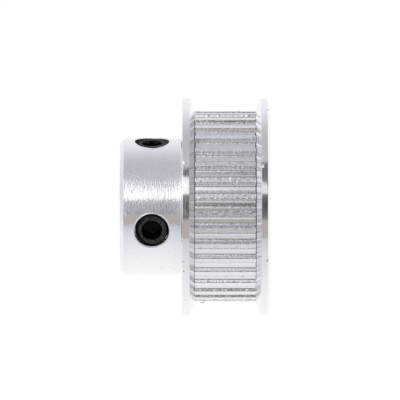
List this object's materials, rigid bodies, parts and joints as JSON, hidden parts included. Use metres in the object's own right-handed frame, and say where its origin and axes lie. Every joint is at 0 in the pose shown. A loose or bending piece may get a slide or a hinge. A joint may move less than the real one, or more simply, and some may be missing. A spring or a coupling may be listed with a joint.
{
  "type": "timing belt pulley",
  "caption": "Aluminium toothed belt pulley of MXL pitch with staked belt flanges and a plain hub that socket set screws lock to a shaft.",
  "frame": {"origin": "on the pulley's axis, midway between the two belt flanges", "axes": "+Y along the pulley's axis, from the hub towards the toothed end; +Z out of the hub through the top set screw; +X out of the hub within 4 degrees of the front set screw"},
  "size_m": [0.026, 0.0178, 0.026],
  "materials": {
    "turned_aluminium": "fine turned, with tool marks round the hub",
    "polished_aluminium": "bright turned",
    "black_oxide_steel": "black oxide"
  },
  "bodies": {
    "pulley": {"pulley_body": "turned_aluminium", "hub_flange": "polished_aluminium", "end_flange": "polished_aluminium"},
    "top_screw": {"set_screw_top": "black_oxide_steel"},
    "front_screw": {"set_screw_front": "black_oxide_steel"}
  },
  "joints": [
    {"name": "top_screw_slide", "type": "slide", "parent": "pulley", "child": "top_screw", "axis": [0, 0, 1], "range_m": [-0.0007, 0.0028]},
    {"name": "front_screw_slide", "type": "slide", "parent": "pulley", "child": "front_screw", "axis": [0.9976, 0, -0.0698], "range_m": [-0.0007, 0.0028]}
  ]
}
